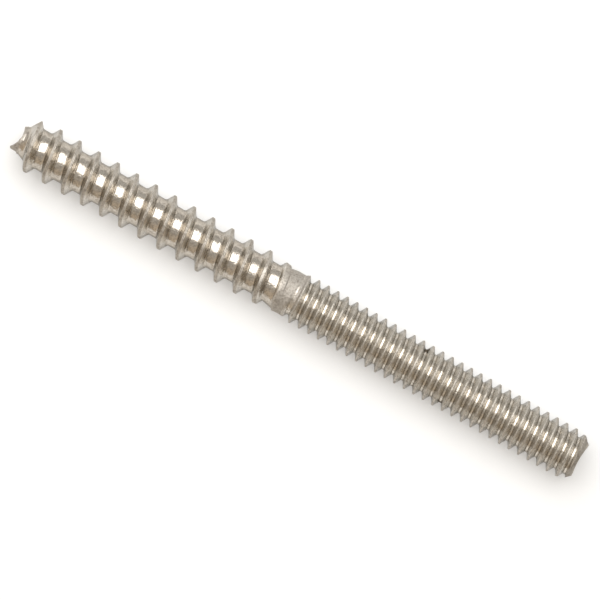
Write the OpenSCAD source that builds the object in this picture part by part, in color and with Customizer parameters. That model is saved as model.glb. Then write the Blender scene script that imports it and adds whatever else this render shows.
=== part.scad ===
// Hanger bolt: a headless bolt rolled from one piece of wire, with a wood thread on one half, a machine
// thread on the other half and a short plain shank between them. Both threads are right-handed.
// The bolt lies on the ground along X, wood tip at -X and machine end at +X, with the origin under the
// middle of its length. Lengths are in millimetres and angles in degrees.

/* [Wood thread] */
// Length from the tip to the plain shank, with the run-out
wood_len = 36; // [20:0.5:60]
// Diameter over the crests
wood_d = 6.4; // [6:0.05:7.2]
// Diameter at the root
wood_root_d = 4.5; // [4:0.05:4.9]
// Distance from crest to crest
wood_pitch = 2.54; // [2.3:0.02:3.4]
// Width of the flat on a crest
wood_crest_w = 0.26; // [0.1:0.02:0.5]
// Angle between the two flanks of a crest
wood_angle = 60; // [45:1:66]
// Radius between a flank and the root
wood_fillet_r = 0.5; // [0.1:0.05:0.7]
// Distance from the tip to the first full crest, on the +Y side
wood_lead = 1.65; // [0.2:0.05:2.5]
// Length over which the crests sink to the plain shank
wood_crest_fade = 3.8; // [1:0.1:6]
// Length over which the root rises to the plain shank
wood_root_fade = 2.2; // [0.4:0.1:5]

/* [Tip] */
// Diameter of the blunt end
tip_d = 3.25; // [2:0.05:3.6]
// Length of the plain nose at the end
tip_nose_len = 0.9; // [0.4:0.1:3]
// Length of the taper behind the nose
tip_taper_len = 1.5; // [0.8:0.1:8]
// Length over which the first crest rises out of the taper
tip_rise_len = 0.8; // [0.5:0.1:6]
// Depth of the saddle that cropping leaves across the end
tip_saddle = 0.5; // [0:0.02:0.7]
// How much further the end reaches on one side than on the other
tip_skew = 0.38; // [0:0.02:0.7]

/* [Shank] */
// Diameter of the plain shank
shank_d = 5.45; // [5:0.05:5.9]
// Length of the plain shank between the two threads
shank_len = 0.8; // [0.4:0.1:12]

/* [Machine thread] */
// Length from the plain shank to the machine end
machine_len = 38.3; // [20:0.1:44]
// Diameter over the crests
machine_d = 6.05; // [5.9:0.05:6.3]
// Diameter at the root
machine_root_d = 4.55; // [4.4:0.05:4.95]
// Distance from crest to crest
machine_pitch = 1.27; // [1.18:0.01:1.6]
// Width of the flat on a crest
machine_crest_w = 0.16; // [0.05:0.01:0.3]
// Angle between the two flanks of a crest
machine_angle = 60; // [50:1:64]
// Distance from the plain shank to the first crest, on the +Y side
machine_lead = 0.62; // [0:0.02:1.26]
// Length over which the thread rises from the plain shank
machine_fade = 0.7; // [0.3:0.1:3]

/* [Machine end] */
// Length over which the last crests sink to the chamfer
end_lead_len = 1.1; // [0.2:0.1:4]
// Diameter where the chamfer begins
chamfer_d = 5.6; // [5:0.05:5.85]
// Length of the chamfer
chamfer_len = 0.8; // [0.4:0.05:3]
// Diameter of the flat end face
end_d = 4.1; // [3:0.05:4.4]

/* [Detail] */
// Sides that one turn is drawn with, in fours so that a flat side is underneath
turn_sides = 24; // [12:4:28]

/* [Hidden] */

metal = [0.66, 0.62, 0.56];
full_turn = 360;
right_angle = 90;

// Turns that each thread is worked out beyond its ends, before it is cut to length.
spare_turns = 2;

wood_r = wood_d / 2;
wood_root_r = wood_root_d / 2;
shank_r = shank_d / 2;
machine_r = machine_d / 2;
machine_root_r = machine_root_d / 2;
machine_from = wood_len + shank_len;
overall_len = machine_from + machine_len;
side_angle = full_turn / turn_sides;

// The lowest flat side of the widest crest lies on the ground.
axis_height = max(wood_r, machine_r) * cos(side_angle / 2);

// Where the bolt begins at angle a about its axis: cropped off in a skewed saddle.
function tip_x(a) = tip_skew * (1 + cos(a)) / 2 + tip_saddle * pow(sin(a), 2);

// Radius at the root and over the crests, at distance x from the tip. Behind a plain nose the wood thread
// rises out of a taper. At the shank both threads run out at its own radius.
function wood_floor(x) = lookup(x, [
    [tip_nose_len, tip_d / 2],
    [tip_nose_len + tip_taper_len, wood_root_r],
    [wood_len - wood_root_fade, wood_root_r],
    [wood_len, shank_r],
]);
function wood_taper(x) = lookup(x, [
    [tip_nose_len, wood_root_r - tip_d / 2],
    [tip_nose_len + tip_taper_len, 0],
]);
function wood_rise(x) = lookup(x, [[tip_nose_len, 0], [tip_nose_len + tip_rise_len, wood_r - wood_root_r]]);
function wood_top(x) = min(
    wood_root_r - wood_taper(x) + wood_rise(x),
    lookup(x, [[wood_len - wood_crest_fade, wood_r], [wood_len, shank_r]])
);
function machine_floor(x) = lookup(x, [
    [machine_from, shank_r],
    [machine_from + machine_fade, machine_root_r],
]);
function machine_top(x) = lookup(x, [
    [machine_from, shank_r],
    [machine_from + machine_fade, machine_r],
]);

// Radius that the machine end is cut down to.
function end_cut(x) = lookup(x, [
    [overall_len - chamfer_len - end_lead_len, machine_r],
    [overall_len - chamfer_len, chamfer_d / 2],
    [overall_len, end_d / 2],
]);

// Half the width of a crest between its flanks, at a depth under the full crest.
function wood_half_w(depth) = wood_crest_w / 2 + depth * tan(wood_angle / 2);
function machine_half_w(depth) = machine_crest_w / 2 + depth * tan(machine_angle / 2);

// One turn of the wood thread, as [x, r] points from the crest at x to the next one.
function wood_turn(x) =
    let (
        full_r = wood_r - wood_taper(x),
        top = wood_top(x),
        floor_r = min(top, wood_floor(x + wood_pitch / 2)),
        tangent = wood_fillet_r * tan((right_angle - wood_angle / 2) / 2),
        lift = min(tangent * cos(wood_angle / 2), (top - floor_r) / 2),
        foot = min(wood_half_w(full_r - floor_r) + tangent, wood_pitch / 2),
        flank = min(wood_half_w(full_r - floor_r - lift), foot),
        crest = min(wood_half_w(full_r - top), flank),
        next = x + wood_pitch
    ) [
        [x - crest, top],
        [x + crest, top],
        [x + flank, wood_floor(x + flank) + lift],
        [x + foot, wood_floor(x + foot)],
        [next - foot, wood_floor(next - foot)],
        [next - flank, wood_floor(next - flank) + lift],
    ];

// One turn of the machine thread, in the same form.
function machine_turn(x) =
    let (
        top = machine_top(x),
        floor_r = min(top, machine_floor(x + machine_pitch / 2)),
        foot = min(machine_half_w(machine_r - floor_r), machine_pitch / 2),
        crest = min(machine_half_w(machine_r - min(top, end_cut(x))), foot),
        next = x + machine_pitch
    ) [
        [x - crest, top],
        [x + crest, top],
        [x + foot, machine_floor(x + foot)],
        [next - foot, machine_floor(next - foot)],
    ];

// The points of a list of turns between two ends. A point beyond an end is drawn back to the end, at the
// radius that the thread has there.
function between(points, low, high) = [
    for (p = points)
        let (x = min(max(p.x, low), high)) [x, x == p.x ? p.y : lookup(x, points)]
];

// Each thread along one side of the bolt, at angle a, held between its floor and its top. A turn further
// round, it is one pitch further along.
wood_turns = ceil(wood_len / wood_pitch) + spare_turns;
machine_turns = ceil(machine_len / machine_pitch) + spare_turns;
wood_first = wood_lead - spare_turns * wood_pitch;
machine_first = machine_from + machine_lead - spare_turns * machine_pitch;

function wood_side(a) =
    let (turns = [for (k = [0:wood_turns]) each wood_turn(wood_first + wood_pitch * (k + a / full_turn))])
    [for (p = between(turns, tip_x(a), wood_len))
        [p.x, min(max(p.y, wood_floor(p.x)), wood_top(p.x))]];
function machine_side(a) =
    let (turns = [
        for (k = [0:machine_turns]) each machine_turn(machine_first + machine_pitch * (k + a / full_turn))
    ])
    [for (p = between(turns, machine_from, overall_len))
        [p.x, min(max(p.y, machine_floor(p.x)), machine_top(p.x), end_cut(p.x))]];

module hanger_bolt() {
    angles = [for (j = [0:turn_sides - 1]) side_angle * j + side_angle / 2];
    wood_count = len(wood_side(0));
    machine_count = len(machine_side(0));
    wood_step = len(wood_turn(0));
    machine_step = len(machine_turn(0));
    count = wood_count + machine_count;

    sides = [for (a = angles) each [
        for (p = concat(wood_side(a), machine_side(a))) [p.x, p.y * cos(a), p.y * sin(a)]
    ]];
    tip_centre = len(sides);
    end_centre = tip_centre + 1;
    points = concat(sides, [[tip_x(right_angle), 0, 0], [overall_len, 0, 0]]);

    // Index of a point. Past the last side the first side follows, one turn further along the thread.
    function wood_at(j, i) = j < turn_sides
        ? j * count + i
        : min(i + wood_step, wood_count - 1);
    function machine_at(j, i) = j < turn_sides
        ? j * count + wood_count + i
        : wood_count + min(i + machine_step, machine_count - 1);

    // Two triangles of a four-sided patch, without those that have shrunk to a line.
    function whole(f) =
        points[f[0]] != points[f[1]] && points[f[1]] != points[f[2]] && points[f[2]] != points[f[0]];
    function patch(a, b, c, d) = [for (f = [[a, b, c], [a, c, d]]) if (whole(f)) f];

    faces = [for (j = [0:turn_sides - 1])
        let (next = (j + 1) % turn_sides) each concat(
            [for (i = [0:wood_count - 2])
                each patch(wood_at(j, i), wood_at(j, i + 1), wood_at(j + 1, i + 1), wood_at(j + 1, i))],
            [for (i = [0:machine_count - 2])
                each patch(
                    machine_at(j, i), machine_at(j, i + 1), machine_at(j + 1, i + 1), machine_at(j + 1, i)
                )],
            patch(
                wood_at(j, wood_count - 1), machine_at(j, 0),
                machine_at(next, 0), wood_at(next, wood_count - 1)
            ),
            [
                [tip_centre, wood_at(j, 0), wood_at(next, 0)],
                [end_centre, machine_at(next, machine_count - 1), machine_at(j, machine_count - 1)],
            ]
        )];

    color(metal)
        translate([-overall_len / 2, 0, axis_height])
            polyhedron(points, faces, convexity = 10);
}

hanger_bolt();
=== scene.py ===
"""Looks of a hanger bolt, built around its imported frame.

The bolt lies along X with its wood tip at -X. Its sizes are in millimetres, measured from the tip, as a
maker gives them. They become metres where a mesh is made.
"""

import logging
import math
from dataclasses import dataclass, field, replace
from enum import Enum
from itertools import pairwise

import bpy
import numpy as np
from mathutils import Euler, Matrix, Vector, noise


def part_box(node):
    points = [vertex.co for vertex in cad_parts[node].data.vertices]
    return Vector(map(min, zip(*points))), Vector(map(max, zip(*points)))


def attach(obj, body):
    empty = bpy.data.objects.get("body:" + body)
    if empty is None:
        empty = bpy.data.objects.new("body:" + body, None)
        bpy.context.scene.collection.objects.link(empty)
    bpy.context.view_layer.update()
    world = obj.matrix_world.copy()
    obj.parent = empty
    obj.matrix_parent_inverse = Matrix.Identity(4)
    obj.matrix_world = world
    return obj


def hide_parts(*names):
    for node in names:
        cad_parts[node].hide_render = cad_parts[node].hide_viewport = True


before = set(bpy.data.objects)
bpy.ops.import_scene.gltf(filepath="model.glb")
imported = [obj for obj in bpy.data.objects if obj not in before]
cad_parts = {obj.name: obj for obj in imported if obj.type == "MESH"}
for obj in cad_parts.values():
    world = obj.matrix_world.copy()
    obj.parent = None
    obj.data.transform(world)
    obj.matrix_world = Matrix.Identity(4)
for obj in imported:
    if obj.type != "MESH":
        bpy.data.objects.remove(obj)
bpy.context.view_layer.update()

NODE = "hanger_bolt"

MM = 0.001
FULL_TURN = 2 * math.pi
FULL_DEG = 360
IMAGE_PX = 600

# Power in watts that gives an area lamp of one square metre a radiance of 1.
WATTS_PER_RADIANCE = 4

Colour = tuple[float, float, float]
Point = tuple[float, float]
Pair = tuple[float, float]
Socket = bpy.types.NodeSocket

log = logging.getLogger("hanger_bolt")


class Zone(Enum):
    """Surfaces of the bolt that have a finish of their own, in the order of its material slots."""

    WOOD_THREAD = 0
    MACHINE_THREAD = 1
    CROPPED_TIP = 2
    END_FACE = 3


class Mark(Enum):
    """Attributes of the bolt's mesh that its finishes read."""

    CREST = "crest"
    ROLLED = "rolled"
    GRIME = "grime"


def arc(centre: Point, radius: float, start_deg: float, end_deg: float, steps: int) -> list[Point]:
    """Points along an arc.

    Args:
        centre: Middle of the arc.
        radius: Radius of the arc.
        start_deg: Angle of the first point.
        end_deg: Angle of the last point.
        steps: Number of straight pieces.

    Returns:
        The points, both ends included.
    """
    angles = [math.radians(start_deg + (end_deg - start_deg) * i / steps) for i in range(steps + 1)]
    return [(centre[0] + radius * math.cos(a), centre[1] + radius * math.sin(a)) for a in angles]


def soft_clamp(share: np.ndarray, ease: np.ndarray) -> np.ndarray:
    """Holds values between 0 and 1 with rounded corners.

    Args:
        share: The values.
        ease: Half the length of each rounded corner, at least a little over 0.

    Returns:
        The values between 0 and 1.
    """
    low = np.where(share < ease, np.square(np.maximum(share + ease, 0)) / (4 * ease), share)
    high = 1 - np.square(np.maximum(1 + ease - share, 0)) / (4 * ease)
    return np.clip(np.where(share > 1 - ease, np.where(share > 1 + ease, 1.0, high), low), 0, 1)


@dataclass(frozen=True)
class ThreadForm:
    """Section of one rolled thread, in millimetres. A shallow fold, the seam, runs along its crest."""

    crest_d: float
    root_d: float
    pitch: float
    crest_w: float
    edge_r: float
    fillet_r: float
    seam_w: float
    seam_depth: float
    first_crest: float
    edge_steps: int
    flank_steps: int
    fillet_steps: int
    flank_deg: float = 60.0

    @property
    def crest_r(self) -> float:
        """Radius over the crests."""
        return self.crest_d / 2

    @property
    def root_r(self) -> float:
        """Radius at the root."""
        return self.root_d / 2

    @property
    def depth(self) -> float:
        """Height of a full crest over the root."""
        return self.crest_r - self.root_r

    def half_section(self) -> list[Point]:
        """Half of one turn's section.

        Returns:
            Points of distance and radius, from the middle of a crest to the middle of the root.
        """
        half = self.flank_deg / 2
        slope = math.tan(math.radians(half))
        bend = math.tan(math.radians((90 - half) / 2))
        edge = (self.crest_w / 2 - self.edge_r * bend, self.crest_r - self.edge_r)
        foot = self.crest_w / 2 + self.depth * slope
        fillet = (foot + self.fillet_r * bend, self.root_r + self.fillet_r)
        seam = [(0.0, self.crest_r - self.seam_depth), (self.seam_w / 2, self.crest_r)]
        crest = arc(edge, self.edge_r, 90, half, self.edge_steps)
        root = arc(fillet, self.fillet_r, 180 + half, 270, self.fillet_steps)
        (x0, r0), (x1, r1) = crest[-1], root[0]
        shares = [i / self.flank_steps for i in range(1, self.flank_steps)]
        flank = [(x0 + (x1 - x0) * share, r0 + (r1 - r0) * share) for share in shares]
        return seam + crest + flank + root + [(self.pitch / 2, self.root_r)]

    def radius_at(self, x: np.ndarray, turn: np.ndarray) -> np.ndarray:
        """Radius of the full thread.

        Args:
            x: Distances from the tip.
            turn: Angles about the axis, in turns from the +Y side.

        Returns:
            The radius at each of these places.
        """
        to_crest = (x - self.first_crest - self.pitch * turn) / self.pitch
        from_crest = np.abs(to_crest - np.round(to_crest)) * self.pitch
        places, radii = zip(*self.half_section())
        return np.interp(from_crest, places, radii)

    def groove_at(self, x: np.ndarray, turn: np.ndarray) -> np.ndarray:
        """Middle of the groove that each place lies in.

        Args:
            x: Distances from the tip.
            turn: Angles about the axis, in turns from the +Y side.

        Returns:
            Distances from the tip.
        """
        turns = np.floor((x - self.first_crest) / self.pitch - turn) + turn + 0.5
        return self.first_crest + self.pitch * turns


@dataclass(frozen=True)
class Spot:
    """A small round place on the bolt, by distance from the tip and by angle from the +Y side."""

    x: float
    side_deg: float
    reach: float

    def share(self, x: np.ndarray, turn: np.ndarray, radius: np.ndarray) -> np.ndarray:
        """How near places are to the middle of the spot.

        Args:
            x: Distances from the tip.
            turn: Angles in turns.
            radius: Distances from the axis.

        Returns:
            Values from 1 in the middle to 0 beyond the reach.
        """
        # The shorter way round the bolt, in turns.
        apart = (turn - self.side_deg / FULL_DEG + 0.5) % 1 - 0.5
        far = np.hypot(x - self.x, apart * FULL_TURN * radius) / self.reach
        return np.square(np.maximum(1 - far**2, 0))


@dataclass(frozen=True)
class Nick(Spot):
    """A dent that handling left on the crests."""

    depth: float


def edit_mode(obj: bpy.types.Object) -> None:
    """Opens a mesh for editing, with all of it selected and nothing else in the scene.

    Args:
        obj: The mesh's object.
    """
    bpy.ops.object.select_all(action="DESELECT")
    obj.select_set(True)
    bpy.context.view_layer.objects.active = obj
    bpy.ops.object.mode_set(mode="EDIT")
    bpy.ops.mesh.select_all(action="SELECT")


def object_mode() -> None:
    """Closes the mesh that is open for editing."""
    bpy.ops.object.mode_set(mode="OBJECT")


def mesh_points(obj: bpy.types.Object) -> np.ndarray:
    """Reads the vertices of a mesh.

    Args:
        obj: The mesh's object.

    Returns:
        Rows of x, y and z.
    """
    points = np.zeros(len(obj.data.vertices) * 3)
    obj.data.vertices.foreach_get("co", points)
    return points.reshape(-1, 3)


def set_mesh_points(obj: bpy.types.Object, points: np.ndarray) -> None:
    """Moves the object's vertices to these rows of x, y and z."""
    obj.data.vertices.foreach_set("co", points.ravel())
    obj.data.update()


def select_vertices(obj: bpy.types.Object, chosen: np.ndarray) -> None:
    """Selects vertices of the mesh that is open for editing, and no others.

    Args:
        obj: The mesh's object.
        chosen: Whether each vertex is selected.
    """
    bpy.ops.mesh.select_mode(type="VERT")
    bpy.ops.mesh.select_all(action="DESELECT")
    object_mode()
    obj.data.vertices.foreach_set("select", chosen)
    bpy.ops.object.mode_set(mode="EDIT")


@dataclass
class HangerBolt:
    """The bolt, one piece with a wood thread, a plain shank and a machine thread, in millimetres."""

    wood: ThreadForm = ThreadForm(
        crest_d=6.4, root_d=4.5, pitch=2.54, crest_w=0.28, edge_r=0.1, fillet_r=0.4, seam_w=0.1,
        seam_depth=0.04, first_crest=1.65, edge_steps=3, flank_steps=4, fillet_steps=5,
    )
    machine: ThreadForm = ThreadForm(
        crest_d=6.05, root_d=4.55, pitch=1.27, crest_w=0.16, edge_r=0.06, fillet_r=0.06, seam_w=0.05,
        seam_depth=0.015, first_crest=37.42, edge_steps=2, flank_steps=4, fillet_steps=2,
    )

    # Wood thread, from the tip to the plain shank
    wood_len: float = 36.0
    wood_crest_fade: float = 3.8
    wood_root_fade: float = 2.2

    # Tip, with the rough grain that cropping left
    tip_d: float = 3.25
    tip_nose_len: float = 0.9
    tip_taper_len: float = 1.5
    tip_rise_len: float = 0.8
    tip_saddle: float = 0.5
    tip_skew: float = 0.38
    tip_edge_r: float = 0.28
    tip_grain_height: float = 0.09
    tip_grain_fineness: float = 2.3
    tip_grain_fall: float = 0.7
    tip_grain_step: float = 2.1
    tip_grain_layers: int = 3
    nose_rolled: float = 0.1

    # Plain shank, and the start of the machine thread
    shank_d: float = 5.45
    shank_len: float = 1.05
    shank_edge_w: float = 0.18
    shank_edge_rolled: float = 0.5
    machine_crest_fade: float = 0.6
    machine_root_fade: float = 0.35

    # Machine end
    end_lead_len: float = 1.1
    chamfer_d: float = 5.6
    chamfer_len: float = 0.8
    end_d: float = 4.1
    end_saddle: float = 0.3
    end_rim_w: float = 0.35
    end_dish: float = 0.08

    # Mesh, and what counts as one point, as a sliver, as inside a rim, as an edge and as the end face
    run_out_ease: float = 0.12
    turn_steps: int = 72
    spare_turns: int = 1
    tip_rings: int = 8
    weld_gap: float = 0.001
    sliver: float = 0.0001
    rim_slack: float = 0.0035
    crease_deg: float = 50.0
    end_face_normal_x: float = 0.4

    # Marks of handling
    nicks: tuple[Nick, ...] = (
        Nick(x=46.3, side_deg=75, reach=0.35, depth=0.09),
        Nick(x=64.9, side_deg=118, reach=0.4, depth=0.1),
        Nick(x=72.6, side_deg=140, reach=0.5, depth=0.1),
        Nick(x=13.1, side_deg=98, reach=0.5, depth=0.1),
        Nick(x=23.4, side_deg=62, reach=0.45, depth=0.09),
        Nick(x=51.2, side_deg=255, reach=0.4, depth=0.1),
        Nick(x=18.0, side_deg=290, reach=0.5, depth=0.1),
    )
    grime: tuple[Spot, ...] = (
        Spot(x=53.4, side_deg=18, reach=0.85),
        Spot(x=57.8, side_deg=170, reach=0.75),
        Spot(x=20.9, side_deg=240, reach=0.7),
    )
    body: bpy.types.Object = field(init=False)

    def __post_init__(self) -> None:
        """Takes the length and the height of the axis from the frame."""
        low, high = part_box(NODE)
        self.overall_len = 2 * high.x / MM
        self.axis_height = (low.z + high.z) / 2 / MM
        self.machine_from = self.wood_len + self.shank_len
        self.weld_x = self.wood_len + self.shank_len / 2

    @property
    def shank_r(self) -> float:
        """Radius of the plain shank."""
        return self.shank_d / 2

    @property
    def crop_depth(self) -> float:
        """Distance from the tip that no place on the cropped face lies beyond."""
        return self.tip_saddle + self.tip_skew + 2 * self.tip_grain_height

    def crop_x(self, across: float, up: float) -> float:
        """Where the cropped face of the tip lies: a skewed saddle, rough as sheared wire is.

        Args:
            across: Place on the face along Y, from -1 at one edge to 1 at the other.
            up: Place on the face along Z, in the same way.

        Returns:
            Distance along the bolt.
        """
        place = Vector((across, up, 0)) * self.tip_grain_fineness
        grain = noise.fractal(place, self.tip_grain_fall, self.tip_grain_step, self.tip_grain_layers)
        saddle = self.tip_saddle * (1 - across**2)
        return self.tip_skew * (1 + across) / 2 + saddle + self.tip_grain_height * grain

    def tip_x(self, turn: np.ndarray) -> np.ndarray:
        """Where the wood thread begins, at the edge of the cropped face.

        Args:
            turn: Angles in turns.

        Returns:
            Distances along the bolt.
        """
        angles = np.arange(self.turn_steps) * FULL_TURN / self.turn_steps
        rim = np.array([self.crop_x(math.cos(a), math.sin(a)) for a in angles])
        return rim[np.round(turn * self.turn_steps).astype(int) % self.turn_steps]

    def end_x(self, turn: np.ndarray) -> np.ndarray:
        """Where the machine thread ends, for angles in turns: in a shallow saddle, as rolling leaves it."""
        return self.overall_len - self.end_saddle * np.square(np.sin(FULL_TURN * turn))

    def tip_taper(self, x: np.ndarray) -> np.ndarray:
        """How much lower the wood thread lies near the tip, at distances from the tip."""
        nose = self.tip_nose_len
        return np.interp(x, [nose, nose + self.tip_taper_len], [self.wood.root_r - self.tip_d / 2, 0])

    def tip_edge(self, x: np.ndarray, turn: np.ndarray) -> np.ndarray:
        """How far the two corners of the cropped face are rounded off.

        Args:
            x: Distances from the tip.
            turn: Angles in turns.

        Returns:
            How much lower the surface lies. It is most at the corners, on the +Y and -Y sides.
        """
        edge_r = np.maximum(self.tip_edge_r * np.square(np.cos(FULL_TURN * turn)), self.weld_gap)
        beyond = np.clip(1 - (x - self.tip_x(turn)) / edge_r, 0, 1)
        return edge_r * (1 - np.sqrt(1 - np.square(beyond)))

    def floor_and_top(self, x: np.ndarray, turn: np.ndarray) -> tuple[np.ndarray, np.ndarray]:
        """The least and the greatest radius of both threads.

        Args:
            x: Distances from the tip.
            turn: Angles in turns.

        Returns:
            Radius at the root and over the crests, with the taper of the tip and the run-outs. The first
            groove of the machine thread deepens along its own helix.
        """
        wood, machine = self.wood, self.machine
        wood_root_end = self.wood_len - self.wood_root_fade
        machine_root_start = self.machine_from + self.machine_root_fade
        floor = np.interp(
            np.where(x > self.weld_x, machine.groove_at(x, turn), x),
            [wood_root_end, self.wood_len, self.machine_from, machine_root_start],
            [wood.root_r, self.shank_r, self.shank_r, machine.root_r],
        ) - self.tip_taper(x)
        wood_crest_end = self.wood_len - self.wood_crest_fade
        machine_crest_start = self.machine_from + self.machine_crest_fade
        rise = np.interp(x, [self.tip_nose_len, self.tip_nose_len + self.tip_rise_len], [0, wood.depth])
        run_out = np.interp(
            x,
            [wood_crest_end, self.wood_len, self.machine_from, machine_crest_start],
            [wood.crest_r, self.shank_r, self.shank_r, machine.crest_r],
        )
        top = np.where(x < wood_crest_end, floor + rise, run_out)
        return floor, np.maximum(top, floor)

    def rolled_share(self, x: np.ndarray, floor: np.ndarray) -> np.ndarray:
        """How much of a thread was rolled.

        Args:
            x: Distances from the tip.
            floor: Radius at the root there.

        Returns:
            Values from 0 on the plain shank to 1 on a full thread. The die also brushed the shank's edge.
        """
        places = [self.tip_nose_len, self.tip_nose_len + self.tip_rise_len / 2]
        places += [self.wood_len - self.wood_root_fade, self.wood_len]
        on_wood = np.interp(x, places, [self.nose_rolled, 1, 1, 0])
        on_machine = (self.shank_r - floor) / (self.shank_r - self.machine.root_r)
        on_edge = self.shank_edge_rolled * (1 - np.abs(x - self.machine_from) / self.shank_edge_w)
        return np.where(x > self.weld_x, np.clip(np.maximum(on_machine, on_edge), 0, 1), on_wood)

    def end_cut(self, x: np.ndarray) -> np.ndarray:
        """Radius that the machine end is cut down to.

        Args:
            x: Distances from the tip.

        Returns:
            The greatest radius there, which leaves all but the end as it is.
        """
        chamfer_from = self.overall_len - self.chamfer_len
        return np.interp(
            x,
            [chamfer_from - self.end_lead_len, chamfer_from, self.overall_len],
            [self.machine.crest_r, self.chamfer_d / 2, self.end_d / 2],
            left=self.wood.crest_r,
        )

    def surface(self, form: ThreadForm, x: np.ndarray, turn: np.ndarray) -> np.ndarray:
        """Radius of the finished bolt.

        Args:
            form: The thread at these places.
            x: Distances from the tip.
            turn: Angles in turns.

        Returns:
            The thread's radius, held between the floor and the top, and cut down at the machine end.
        """
        floor, top = self.floor_and_top(x, turn)
        room = np.maximum(top - floor, self.weld_gap)
        ease = np.maximum(self.run_out_ease * (1 - room / form.depth), self.weld_gap)
        full = form.radius_at(x, turn) - self.tip_taper(x)
        share = soft_clamp((full - floor) / room, ease)
        radius = np.minimum(floor + (top - floor) * share - self.tip_edge(x, turn), self.end_cut(x))
        for nick in self.nicks:
            height = np.clip((radius - form.root_r) / form.depth, 0, 1)
            radius = radius - nick.depth * height * nick.share(x, turn, radius)
        return radius

    def place(self, x: np.ndarray, turn: np.ndarray, radius: np.ndarray) -> np.ndarray:
        """Sets places on the bolt into the frame.

        Args:
            x: Distances from the tip.
            turn: Angles in turns.
            radius: Distances from the axis.

        Returns:
            Rows of x, y and z, in metres.
        """
        angle = FULL_TURN * turn
        rows = (x - self.overall_len / 2, radius * np.cos(angle), radius * np.sin(angle) + self.axis_height)
        return np.stack(rows, axis=1) * MM

    def measure(self) -> tuple[np.ndarray, np.ndarray, np.ndarray]:
        """Measures the bolt's vertices.

        Returns:
            Distances from the tip, angles in turns and distances from the axis.
        """
        points = mesh_points(self.body) / MM
        y, z = points[:, 1], points[:, 2] - self.axis_height
        return points[:, 0] + self.overall_len / 2, np.arctan2(z, y) / FULL_TURN % 1, np.hypot(y, z)

    def trace_section(self, name: str, form: ThreadForm, start: float) -> bpy.types.Object:
        """Draws one turn's section as a line of edges, by extruding a single point.

        Args:
            name: Name of the new object.
            form: The thread's section.
            start: Distance from the tip of the crest that the line starts on.

        Returns:
            The line, in metres, with the bolt's axis on the X axis.
        """
        half = form.half_section()
        line = half + [(form.pitch - x, r) for x, r in reversed(half[:-1])]
        points = [Vector((start + x, r, 0)) * MM for x, r in line]
        bpy.ops.object.select_all(action="DESELECT")
        bpy.ops.mesh.primitive_plane_add(size=MM)
        obj = bpy.context.active_object
        obj.name = name
        edit_mode(obj)
        bpy.ops.mesh.merge(type="CENTER")
        bpy.ops.transform.translate(value=points[0])
        for a, b in pairwise(points):
            bpy.ops.mesh.extrude_vertices_move(TRANSFORM_OT_translate={"value": b - a})
        object_mode()
        return obj

    def wind_thread(self, name: str, form: ThreadForm) -> bpy.types.Object:
        """Winds a section into a thread and draws its ends back to where the thread is cut off.

        Args:
            name: Name of the new object.
            form: The thread's section.

        Returns:
            The thread as an open tube, in the frame.
        """
        on_wood = form is self.wood
        low, high = (0.0, self.weld_x) if on_wood else (self.weld_x, self.overall_len)
        first_turn = math.floor((low - form.first_crest) / form.pitch) - self.spare_turns
        start = form.first_crest + form.pitch * first_turn
        obj = self.trace_section(name, form, start)
        screw = obj.modifiers.new("helix", "SCREW")
        screw.axis = "X"
        screw.angle = FULL_TURN
        screw.screw_offset = form.pitch * MM
        screw.iterations = math.ceil((high - start) / form.pitch) + self.spare_turns
        screw.steps = screw.render_steps = self.turn_steps
        bpy.ops.object.modifier_apply(modifier=screw.name)

        points = mesh_points(obj) / MM
        turn = np.arctan2(points[:, 2], points[:, 1]) / FULL_TURN
        turn = np.round(turn * self.turn_steps) % self.turn_steps / self.turn_steps
        begins = self.tip_x(turn) if on_wood else low
        ends = high if on_wood else self.end_x(turn)
        x = np.clip(points[:, 0], begins, ends)
        set_mesh_points(obj, self.place(x, turn, self.surface(form, x, turn)))
        edit_mode(obj)
        bpy.ops.mesh.remove_doubles(threshold=self.weld_gap * MM)
        bpy.ops.mesh.dissolve_degenerate(threshold=self.sliver * MM)
        object_mode()
        return obj

    def select_rim(self, at_tip: bool) -> None:
        """Opens the bolt for editing, with one of its two open edges selected.

        Args:
            at_tip: Whether it is the edge at the tip.
        """
        edit_mode(self.body)
        bpy.ops.mesh.select_mode(type="EDGE")
        bpy.ops.mesh.select_all(action="DESELECT")
        bpy.ops.mesh.select_non_manifold()
        object_mode()
        chosen = np.zeros(len(self.body.data.vertices), dtype=bool)
        self.body.data.vertices.foreach_get("select", chosen)
        x, _, _ = self.measure()
        bpy.ops.object.mode_set(mode="EDIT")
        select_vertices(self.body, chosen & ((x < self.weld_x) == at_tip))

    def close_tip(self) -> None:
        """Fills the cropped tip with rings that shrink to its middle and follow its rough shape."""
        self.select_rim(at_tip=True)
        centre = Vector((0, 0, self.axis_height * MM))
        # Each ring is a step smaller than the one before, and the last lies half a step from the middle.
        for steps in range(self.tip_rings, 0, -1):
            bpy.ops.mesh.extrude_edges_move()
            shrink = (steps - 0.5) / (steps + 0.5)
            bpy.ops.transform.resize(value=(1, shrink, shrink), center_override=centre)
        bpy.ops.mesh.edge_face_add()
        bpy.ops.mesh.poke()
        object_mode()
        x, turn, radius = self.measure()
        for i in np.flatnonzero(self.on_crop(x, turn, radius)):
            angle = FULL_TURN * turn[i]
            share = radius[i] / self.crop_edge(turn[i : i + 1])[0]
            x[i] = self.crop_x(share * math.cos(angle), share * math.sin(angle))
        set_mesh_points(self.body, self.place(x, turn, radius))

    def crop_edge(self, turn: np.ndarray) -> np.ndarray:
        """Radius of the cropped face's edge, for angles in turns."""
        return self.surface(self.wood, self.tip_x(turn), turn)

    def on_crop(self, x: np.ndarray, turn: np.ndarray, radius: np.ndarray) -> np.ndarray:
        """Marks the places that lie on the cropped face, inside its edge."""
        inside = radius < self.crop_edge(turn) * (1 - self.rim_slack)
        return inside & (x < self.crop_depth)

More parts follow.
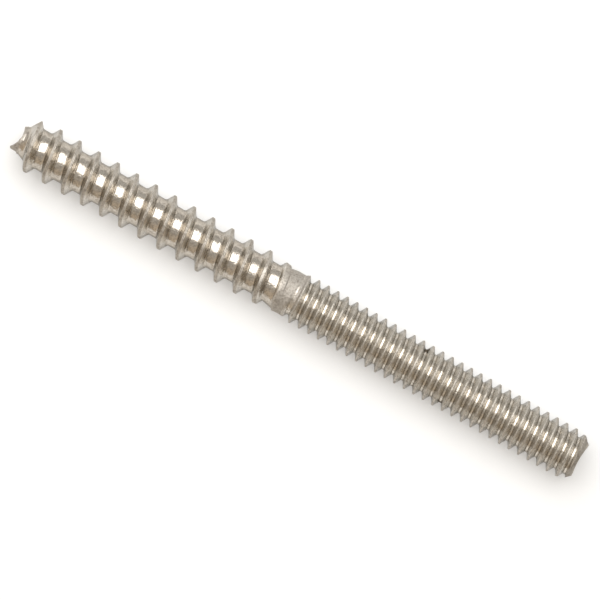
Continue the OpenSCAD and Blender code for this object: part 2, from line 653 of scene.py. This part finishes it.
    def close_end(self) -> None:
        """Fills the machine end with a narrow rim and a shallow dish, as a rolled end has."""
        self.select_rim(at_tip=False)
        bpy.ops.mesh.edge_face_add()
        bpy.ops.mesh.inset(thickness=self.end_rim_w * MM)
        bpy.ops.mesh.inset(thickness=self.end_rim_w * MM, depth=-self.end_dish * MM)
        bpy.ops.mesh.inset(thickness=self.end_rim_w * MM)
        bpy.ops.mesh.poke()
        object_mode()

    def mark_surfaces(self) -> None:
        """Marks crests, the rolled part and grime on the mesh, and sets which zone each face is in."""
        mesh = self.body.data
        x, turn, radius = self.measure()
        floor, top = self.floor_and_top(x, turn)
        top = np.minimum(top, self.end_cut(x))
        marks = {
            Mark.CREST: np.clip((radius - floor) / np.maximum(top - floor, self.weld_gap), 0, 1),
            Mark.ROLLED: self.rolled_share(x, floor),
            Mark.GRIME: np.max([spot.share(x, turn, radius) for spot in self.grime], axis=0),
        }
        for mark, values in marks.items():
            layer = mesh.attributes.new(mark.value, "FLOAT", "POINT")
            layer.data.foreach_set("value", values.astype(np.float32))
        cropped = self.on_crop(x, turn, radius)
        on_machine = x > self.weld_x - self.weld_gap
        ended = x > self.overall_len - self.chamfer_len
        for face in mesh.polygons:
            corners = list(face.vertices)
            if cropped[corners].any():
                face.material_index = Zone.CROPPED_TIP.value
            elif ended[corners].all() and face.normal.x > self.end_face_normal_x:
                face.material_index = Zone.END_FACE.value
            elif on_machine[corners].all():
                face.material_index = Zone.MACHINE_THREAD.value

    def build(self) -> bpy.types.Object:
        """Models the bolt.

        Returns:
            The bolt as one closed mesh, in the frame.
        """
        self.body = self.wind_thread("rolled_bolt", self.wood)
        machine = self.wind_thread("machine_half", self.machine)
        bpy.ops.object.select_all(action="DESELECT")
        machine.select_set(True)
        self.body.select_set(True)
        bpy.context.view_layer.objects.active = self.body
        bpy.ops.object.join()
        edit_mode(self.body)
        bpy.ops.mesh.remove_doubles(threshold=self.weld_gap * MM)
        bpy.ops.mesh.normals_make_consistent(inside=False)
        object_mode()
        self.close_tip()
        self.close_end()
        edit_mode(self.body)
        bpy.ops.mesh.normals_make_consistent(inside=False)
        object_mode()
        bpy.ops.object.shade_smooth_by_angle(angle=math.radians(self.crease_deg))
        self.mark_surfaces()
        return self.body

    def dress(self, finishes: dict[Zone, "SteelFinish"]) -> None:
        """Gives each zone its finish and sets the bolt in the frame in place of its plain solid.

        Args:
            finishes: The finish of each zone.
        """
        for zone in Zone:
            self.body.data.materials.append(finishes[zone].material(self.axis_height * MM))
        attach(self.body, "root")
        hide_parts(NODE)


@dataclass(frozen=True)
class Band:
    """Values of a pattern over which an effect grows from nothing to its share."""

    low: float
    high: float
    share: float = 1.0


class NodeBench:
    """A node tree that nodes are added to and joined in."""

    # Places of a Mix node's colour sockets. Its sockets for numbers and vectors have the same names.
    MIX_INPUTS = (0, 6, 7)
    MIX_OUTPUT = 2

    def __init__(self, tree: bpy.types.NodeTree) -> None:
        """Takes the tree to work on."""
        self.tree = tree

    def add(self, kind: str, **settings: object) -> bpy.types.Node:
        """Adds a node.

        Args:
            kind: Blender's name of the kind of node.
            settings: Properties of the node.

        Returns:
            The node.
        """
        node = self.tree.nodes.new(kind)
        for name, value in settings.items():
            setattr(node, name, value)
        return node

    def feed(self, socket: Socket, source: object) -> None:
        """Joins an output to a socket, or sets the socket to a plain value.

        Args:
            socket: The socket.
            source: An output, a colour or a number.
        """
        if isinstance(source, Socket):
            self.tree.links.new(source, socket)
        elif isinstance(source, tuple):
            socket.default_value = (*source, 1.0)
        else:
            socket.default_value = source

    def math(self, operation: str, *values: object, clamp: bool = False) -> Socket:
        """Adds a calculation with numbers.

        Args:
            operation: Blender's name of the operation.
            values: Outputs or numbers that it takes.
            clamp: Whether the result is held between 0 and 1.

        Returns:
            The result's output.
        """
        node = self.add("ShaderNodeMath", operation=operation, use_clamp=clamp)
        for socket, value in zip(node.inputs, values):
            self.feed(socket, value)
        return node.outputs[0]

    def blend(self, share: object, a: object, b: object) -> Socket:
        """Blends two numbers, or outputs of numbers, by a share from 0 to 1."""
        return self.math("MULTIPLY_ADD", share, self.math("SUBTRACT", b, a), a)

    def mix(self, share: object, a: object, b: object) -> Socket:
        """Mixes two colours.

        Args:
            share: How much of the second colour there is, from 0 to 1.
            a: The first colour.
            b: The second colour.

        Returns:
            The mixed colour.
        """
        node = self.add("ShaderNodeMix", data_type="RGBA")
        for i, value in zip(self.MIX_INPUTS, (share, a, b)):
            self.feed(node.inputs[i], value)
        return node.outputs[self.MIX_OUTPUT]

    def ramp(self, value: Socket, low: object, high: object, share: float = 1.0) -> Socket:
        """Spreads values from 0 to a share, with smooth ends.

        Args:
            value: The values.
            low: Value that gives 0.
            high: Value that gives the whole share.
            share: The greatest result.

        Returns:
            The spread values.
        """
        node = self.add("ShaderNodeMapRange", interpolation_type="SMOOTHSTEP")
        sources = {"Value": value, "From Min": low, "From Max": high, "To Max": share}
        for name, source in sources.items():
            self.feed(node.inputs[name], source)
        return node.outputs["Result"]

    def grow(self, value: Socket, band: Band) -> Socket:
        """Grows an effect over a band of values."""
        return self.ramp(value, band.low, band.high, band.share)

    def noise(self, vector: Socket, scale: object, detail: float) -> Socket:
        """Adds a cloudy pattern.

        Args:
            vector: Place in the pattern.
            scale: Clouds for each unit of the place.
            detail: Number of finer layers.

        Returns:
            The pattern's value, about 0.5 on average.
        """
        node = self.add("ShaderNodeTexNoise")
        for name, source in (("Vector", vector), ("Scale", scale), ("Detail", detail)):
            self.feed(node.inputs[name], source)
        return node.outputs[0]

    def attribute(self, mark: Mark) -> Socket:
        """Reads one of the mesh's marks."""
        return self.add("ShaderNodeAttribute", attribute_name=mark.value).outputs["Fac"]

    def effect(self, tree: bpy.types.NodeTree, **values: float) -> Socket:
        """Places a node group with its own values.

        Args:
            tree: The group.
            values: Values of its inputs, by their names.

        Returns:
            The group's output.
        """
        node = self.add("ShaderNodeGroup", node_tree=tree)
        for name, value in values.items():
            self.feed(node.inputs[name], value)
        return node.outputs[0]


@dataclass
class SteelEffects:
    """Patterns that more than one finish of the steel uses, each a node group that is built once.

    A streak moves along the bolt with the radius, by the slope, so that flanks have streaks too.
    """

    streak_slope: float = 0.6
    streak_spread: float = 0.8 * MM
    streak_layers: float = 2.0
    mottle_layers: float = 1.5
    speck_layers: float = 1.0
    speck_softness: float = 0.1

    def __post_init__(self) -> None:
        """Builds the groups."""
        self.streaks = self._streaks()
        self.mottle = self._mottle()
        self.specks = self._specks()

    @staticmethod
    def _group(name: str, takes: tuple[str, ...], gives: str) -> tuple[NodeBench, object, Socket]:
        """Starts a group of number inputs and one number output.

        Args:
            name: The group's name.
            takes: Names of its inputs.
            gives: Name of its output.

        Returns:
            The bench, the outputs of the group's input node and the socket of its result.
        """
        tree = bpy.data.node_groups.new(name, "ShaderNodeTree")
        for socket in takes:
            tree.interface.new_socket(name=socket, in_out="INPUT", socket_type="NodeSocketFloat")
        tree.interface.new_socket(name=gives, in_out="OUTPUT", socket_type="NodeSocketFloat")
        bench = NodeBench(tree)
        return bench, bench.add("NodeGroupInput").outputs, bench.add("NodeGroupOutput").inputs[0]

    def _streaks(self) -> bpy.types.NodeTree:
        """Fine lines that the rolling dies leave round the bolt, with no seam.

        Returns:
            The group.
        """
        bench, takes, result = self._group("rolling_streaks", ("axis_height", "fineness"), "streak")
        apart = bench.add("ShaderNodeSeparateXYZ")
        bench.feed(apart.inputs[0], bench.add("ShaderNodeTexCoord").outputs["Object"])
        x, y, z = apart.outputs
        up = bench.math("SUBTRACT", z, takes["axis_height"])
        squares = bench.math("MULTIPLY_ADD", y, y, bench.math("MULTIPLY", up, up))
        radius = bench.math("SQRT", squares)
        place = bench.add("ShaderNodeCombineXYZ")
        bench.feed(place.inputs[0], bench.math("MULTIPLY_ADD", radius, self.streak_slope, x))
        for socket, value in zip(place.inputs[1:], (y, up)):
            share = bench.math("DIVIDE", value, radius)
            bench.feed(socket, bench.math("MULTIPLY", share, self.streak_spread))
        bench.feed(result, bench.noise(place.outputs[0], takes["fineness"], self.streak_layers))
        return bench.tree

    def _mottle(self) -> bpy.types.NodeTree:
        """Uneven patches, as on steel that was drawn, rolled and washed.

        Returns:
            The group.
        """
        bench, takes, result = self._group("mottled_skin", ("fineness",), "patch")
        place = bench.add("ShaderNodeTexCoord").outputs["Object"]
        bench.feed(result, bench.noise(place, takes["fineness"], self.mottle_layers))
        return bench.tree

    def _specks(self) -> bpy.types.NodeTree:
        """Scattered small dark pits.

        Returns:
            The group.
        """
        bench, takes, result = self._group("dark_specks", ("fineness", "amount"), "speck")
        place = bench.add("ShaderNodeTexCoord").outputs["Object"]
        pattern = bench.noise(place, takes["fineness"], self.speck_layers)
        edge = bench.math("SUBTRACT", 1.0, takes["amount"])
        bench.feed(result, bench.ramp(pattern, edge, bench.math("ADD", edge, self.speck_softness)))
        return bench.tree


@dataclass(frozen=True)
class SteelMasks:
    """Outputs in one material that say where its patterns are and which part of a thread is where."""

    streak: Socket
    patch: Socket
    grain: Socket
    speck: Socket
    rolled: Socket
    on_crest: Socket
    on_flank: Socket
    grime: Socket


@dataclass(frozen=True)
class SteelFinish:
    """One finish of the bolt's steel. Patterns have so many clouds in a metre, and bumps are in metres."""

    name: str
    effects: SteelEffects
    crest: Colour
    flank: Colour
    root: Colour
    plain: Colour
    dark: Colour
    crest_roughness: float
    flank_roughness: float
    root_roughness: float
    plain_roughness: float
    streak_fineness: float
    mottle_fineness: float
    speck_fineness: float
    speck_amount: float
    bump: float
    plain_bump: float
    edge_tint: Colour = (0.45, 0.455, 0.455)

    # Where a mark on the mesh counts as rolled, as a crest or as a flank
    rolled_band: Band = Band(0.1, 0.55)
    crest_band: Band = Band(0.8, 0.97)
    flank_band: Band = Band(0.05, 0.35)

    # How strongly the patterns show
    wear: float = 0.55
    plain_wear: float = 0.35
    wear_dark: float = 0.5
    wear_band: Band = Band(0.45, 0.7)
    streak_band: Band = Band(0.5, 0.75, 0.4)
    grain_band: Band = Band(0.4, 0.65, 0.25)
    speck_share: float = 0.22
    dull_band: Band = Band(0.4, 0.75, 0.1)
    dirt_roughness: float = 0.15
    streak_relief: float = 0.3

    # Grime lies in the roots, in patches
    grime_off_crest: float = 0.8
    grime_patch: float = 0.5
    grime_band: Band = Band(0.4, 0.7)

    def _masks(self, bench: NodeBench, axis_height: float) -> SteelMasks:
        """Adds the patterns and reads the marks on the mesh.

        Args:
            bench: The material's nodes.
            axis_height: Height of the bolt's axis in the frame, in metres.

        Returns:
            The masks.
        """
        effects = self.effects
        patch = bench.effect(effects.mottle, fineness=self.mottle_fineness)
        height = bench.attribute(Mark.CREST)
        on_crest = bench.grow(height, self.crest_band)
        off_crest = bench.math("SUBTRACT", 1.0, on_crest)
        grime = bench.math("MULTIPLY_ADD", height, -self.grime_off_crest, bench.attribute(Mark.GRIME))
        grime = bench.math("MULTIPLY_ADD", patch, self.grime_patch, grime)
        return SteelMasks(
            streak=bench.effect(effects.streaks, axis_height=axis_height, fineness=self.streak_fineness),
            patch=patch,
            grain=bench.effect(effects.mottle, fineness=self.speck_fineness),
            speck=bench.effect(effects.specks, fineness=self.speck_fineness, amount=self.speck_amount),
            rolled=bench.grow(bench.attribute(Mark.ROLLED), self.rolled_band),
            on_crest=on_crest,
            on_flank=bench.math("MULTIPLY", bench.grow(height, self.flank_band), off_crest),
            grime=bench.grow(grime, self.grime_band),
        )

    def _tone(self, bench: NodeBench, masks: SteelMasks) -> Socket:
        """Mixes the colour of the steel.

        Args:
            bench: The material's nodes.
            masks: The material's masks.

        Returns:
            The colour.
        """
        tone = bench.mix(masks.on_crest, self.root, self.crest)
        tone = bench.mix(masks.rolled, self.plain, tone)
        wear = bench.blend(masks.rolled, self.plain_wear, self.wear)
        worn = bench.math("MULTIPLY", bench.grow(masks.patch, self.wear_band), wear)
        tone = bench.mix(worn, tone, bench.mix(self.wear_dark, tone, self.dark))
        tone = bench.mix(bench.grow(masks.streak, self.streak_band), tone, self.crest)
        tone = bench.mix(bench.grow(masks.grain, self.grain_band), tone, self.dark)
        tone = bench.mix(bench.math("MULTIPLY", masks.speck, self.speck_share), tone, self.dark)
        tone = bench.mix(bench.math("MULTIPLY", masks.on_flank, masks.rolled), tone, self.flank)
        return bench.mix(masks.grime, tone, self.dark)

    def _roughness(self, bench: NodeBench, masks: SteelMasks) -> Socket:
        """Works out how rough the steel is: smooth in a rolled root, dull on the plain shank and in dirt.

        Args:
            bench: The material's nodes.
            masks: The material's masks.

        Returns:
            The roughness.
        """
        rough = bench.blend(masks.on_crest, self.root_roughness, self.crest_roughness)
        rough = bench.blend(masks.on_flank, rough, self.flank_roughness)
        rough = bench.math("ADD", bench.grow(masks.patch, self.dull_band), rough)
        rough = bench.blend(masks.rolled, self.plain_roughness, rough)
        dirt = bench.math("MAXIMUM", masks.speck, masks.grime)
        return bench.math("MULTIPLY_ADD", dirt, self.dirt_roughness, rough, clamp=True)

    def _normal(self, bench: NodeBench, masks: SteelMasks) -> Socket:
        """Raises the fine relief of the skin.

        Args:
            bench: The material's nodes.
            masks: The material's masks.

        Returns:
            The bent normal.
        """
        relief = bench.math("MULTIPLY_ADD", masks.streak, self.streak_relief, masks.patch)
        relief = bench.math("MULTIPLY", relief, self.bump / self.plain_bump)
        plain_relief = bench.math("ADD", masks.grain, relief)
        bump = bench.add("ShaderNodeBump")
        bench.feed(bump.inputs["Strength"], 1.0)
        bench.feed(bump.inputs["Distance"], self.plain_bump)
        bench.feed(bump.inputs["Height"], bench.blend(masks.rolled, plain_relief, relief))
        return bump.outputs["Normal"]

    def material(self, axis_height: float) -> bpy.types.Material:
        """Builds the finish.

        Args:
            axis_height: Height of the bolt's axis in the frame, in metres.

        Returns:
            The material.
        """
        made = bpy.data.materials.new(self.name)
        made.use_nodes = True
        bench = NodeBench(made.node_tree)
        shader = next(node for node in made.node_tree.nodes if node.type == "BSDF_PRINCIPLED")
        masks = self._masks(bench, axis_height)
        bench.feed(shader.inputs["Base Color"], self._tone(bench, masks))
        bench.feed(shader.inputs["Metallic"], 1.0)
        bench.feed(shader.inputs["Specular Tint"], self.edge_tint)
        bench.feed(shader.inputs["Roughness"], self._roughness(bench, masks))
        bench.feed(shader.inputs["Normal"], self._normal(bench, masks))
        return made


def steel_finishes() -> dict[Zone, SteelFinish]:
    """Sets the finishes of the bolt. The others start from that of the wood thread.

    Returns:
        The finish of each zone.
    """
    wood_thread = SteelFinish(
        name="rolled_wood_thread",
        effects=SteelEffects(),
        crest=(0.56, 0.52, 0.465),
        flank=(0.75, 0.71, 0.65),
        root=(0.57, 0.52, 0.455),
        plain=(0.515, 0.48, 0.434),
        dark=(0.15, 0.12, 0.09),
        crest_roughness=0.5,
        flank_roughness=0.27,
        root_roughness=0.2,
        plain_roughness=0.67,
        streak_fineness=4500,
        mottle_fineness=2300,
        speck_fineness=4600,
        speck_amount=0.34,
        bump=4.2e-5,
        plain_bump=3.2e-5,
    )
    machine_thread = replace(
        wood_thread,
        name="rolled_machine_thread",
        crest=(0.585, 0.545, 0.49),
        flank=(0.71, 0.68, 0.63),
        root=(0.65, 0.6, 0.53),
        crest_roughness=0.45,
        root_roughness=0.23,
    )
    cropped_tip = replace(
        wood_thread,
        name="cropped_tip",
        crest_roughness=0.45,
        flank_roughness=0.45,
        root_roughness=0.4,
        plain_roughness=0.45,
        streak_fineness=3000,
        mottle_fineness=4200,
        speck_amount=0.36,
        bump=9e-5,
        plain_bump=9e-5,
    )
    end_face_painted_shade = replace(
        wood_thread,
        name="end_face_painted_shade",
        # Its crest and flank colours are darker than the thread's. This is painted shade on the chamfer and
        # end, which face away from the softbox.
        crest=(0.4, 0.365, 0.32),
        flank=(0.4, 0.365, 0.32),
        crest_roughness=0.42,
        flank_roughness=0.42,
        root_roughness=0.36,
        plain_roughness=0.42,
        streak_fineness=5000,
        mottle_fineness=2200,
        speck_amount=0.33,
        bump=6e-5,
        plain_bump=9e-5,
        wear=0.3,
    )
    return {
        Zone.WOOD_THREAD: wood_thread,
        Zone.MACHINE_THREAD: machine_thread,
        Zone.CROPPED_TIP: cropped_tip,
        Zone.END_FACE: end_face_painted_shade,
    }


@dataclass
class Studio:
    """Pale floor, soft light and the camera that looks straight down on the bolt. Lengths are in metres.

    The walls of the room change over bands of direction, from -1 to 1 along east, north or up.
    """

    floor_size: float = 3.0
    floor_drop: float = 0.00006
    floor_colour: Colour = (0.9, 0.9, 0.895)
    floor_white_share: float = 0.25
    zenith: Colour = (0.54, 0.515, 0.48)
    wall: Colour = (0.65, 0.645, 0.625)
    warm_wall: Colour = (0.71, 0.605, 0.48)
    dim_corner: Colour = (0.3, 0.26, 0.21)
    wall_band: Band = Band(-0.5, 0.5)
    corner_aim: Pair = (0.87, -0.5)
    corner_band: Band = Band(0.35, 0.85)
    zenith_band: Band = Band(0.3, 0.95)
    softbox_lean_deg: Pair = (-10.5, 18.5)
    softbox_reach: float = 0.4
    softbox_size: Pair = (0.48, 0.385)
    softbox_radiance: float = 2.4
    focal_px: float = 4500.0
    px_per_mm: float = 8.661
    sensor_mm: float = 36.0
    roll_deg: float = 29.95
    middle_px: Point = (298.15, 298.05)
    clip_range: Pair = (0.01, 10.0)

    def lay_floor(self) -> None:
        """Lays the floor, near white to the eye and in the steel, which keeps the bolt's soft shadow."""
        bpy.ops.object.select_all(action="DESELECT")
        bpy.ops.mesh.primitive_plane_add(size=self.floor_size, location=(0, 0, -self.floor_drop))
        floor = bpy.context.active_object
        floor.name = "studio_floor"
        made = bpy.data.materials.new("pale_floor")
        made.use_nodes = True
        made.node_tree.nodes.clear()
        bench = NodeBench(made.node_tree)
        path = bench.add("ShaderNodeLightPath").outputs
        seen = bench.math("MAXIMUM", path["Is Camera Ray"], path["Is Glossy Ray"])
        seen = bench.math("MAXIMUM", seen, path["Is Transmission Ray"])
        card = bench.add("ShaderNodeBsdfDiffuse")
        bench.feed(card.inputs["Color"], self.floor_colour)
        white = bench.add("ShaderNodeEmission")
        bench.feed(white.inputs["Color"], (1.0, 1.0, 1.0))
        joined = bench.add("ShaderNodeMixShader")
        bench.feed(joined.inputs[0], bench.math("MULTIPLY", seen, self.floor_white_share))
        bench.feed(joined.inputs[1], card.outputs[0])
        bench.feed(joined.inputs[2], white.outputs[0])
        bench.feed(bench.add("ShaderNodeOutputMaterial").inputs["Surface"], joined.outputs[0])
        floor.data.materials.append(made)

    def paint_room(self) -> None:
        """Fills the room with even light from its walls, warm on one side and dim in one corner."""
        world = bpy.data.worlds.new("studio_room")
        world.use_nodes = True
        bench = NodeBench(world.node_tree)
        apart = bench.add("ShaderNodeSeparateXYZ")
        bench.feed(apart.inputs[0], bench.add("ShaderNodeTexCoord").outputs["Generated"])
        east, north, up = apart.outputs
        aim_east, aim_north = self.corner_aim
        corner = bench.math("MULTIPLY_ADD", east, aim_east, bench.math("MULTIPLY", north, aim_north))
        walls = bench.mix(bench.grow(north, self.wall_band), self.warm_wall, self.wall)
        walls = bench.mix(bench.grow(corner, self.corner_band), walls, self.dim_corner)
        room = bench.mix(bench.grow(up, self.zenith_band), walls, self.zenith)
        bench.feed(world.node_tree.nodes["Background"].inputs["Color"], room)
        bpy.context.scene.world = world

    def hang_softbox(self) -> None:
        """Hangs one large softbox over the bolt."""
        lamp = bpy.data.lights.new("softbox", "AREA")
        lamp.shape = "RECTANGLE"
        lamp.size, lamp.size_y = self.softbox_size
        lamp.energy = self.softbox_radiance * WATTS_PER_RADIANCE * lamp.size * lamp.size_y
        box = bpy.data.objects.new("softbox", lamp)
        along, across = (math.radians(lean) for lean in self.softbox_lean_deg)
        turned = Euler((-across, along, 0))
        box.rotation_euler = turned
        box.location = turned.to_matrix() @ Vector((0, 0, self.softbox_reach))
        box.visible_camera = False
        bpy.context.scene.collection.objects.link(box)

    def set_camera(self, axis_height: float) -> None:
        """Sets the camera over the bolt, with the bolt's middle on the pixel that it has in the picture.

        Args:
            axis_height: Height of the bolt's axis in the frame, in metres.
        """
        lens = bpy.data.cameras.new("camera")
        lens.sensor_width = self.sensor_mm
        lens.lens = self.focal_px * self.sensor_mm / IMAGE_PX
        lens.clip_start, lens.clip_end = self.clip_range
        camera = bpy.data.objects.new("camera", lens)
        right, down = (p - IMAGE_PX / 2 for p in self.middle_px)
        roll = math.radians(self.roll_deg)
        aside = Matrix.Rotation(roll, 3, "Z") @ Vector((-right, down, 0)) / self.px_per_mm * MM
        height = axis_height + self.focal_px / self.px_per_mm * MM
        camera.location = aside + Vector((0, 0, height))
        camera.rotation_euler = (0, 0, roll)
        bpy.context.scene.collection.objects.link(camera)
        bpy.context.scene.camera = camera
        bpy.context.scene.view_settings.view_transform = "Standard"


def main() -> None:
    """Builds the bolt, dresses it and sets it in the studio."""
    logging.basicConfig(level=logging.INFO, format="%(name)s: %(message)s")
    bolt = HangerBolt()
    body = bolt.build()
    log.info("%s has %d faces", body.name, len(body.data.polygons))
    bolt.dress(steel_finishes())
    studio = Studio()
    studio.lay_floor()
    studio.paint_room()
    studio.hang_softbox()
    studio.set_camera(bolt.axis_height * MM)
    log.info("studio is set")


if __name__ == "__main__":
    main()
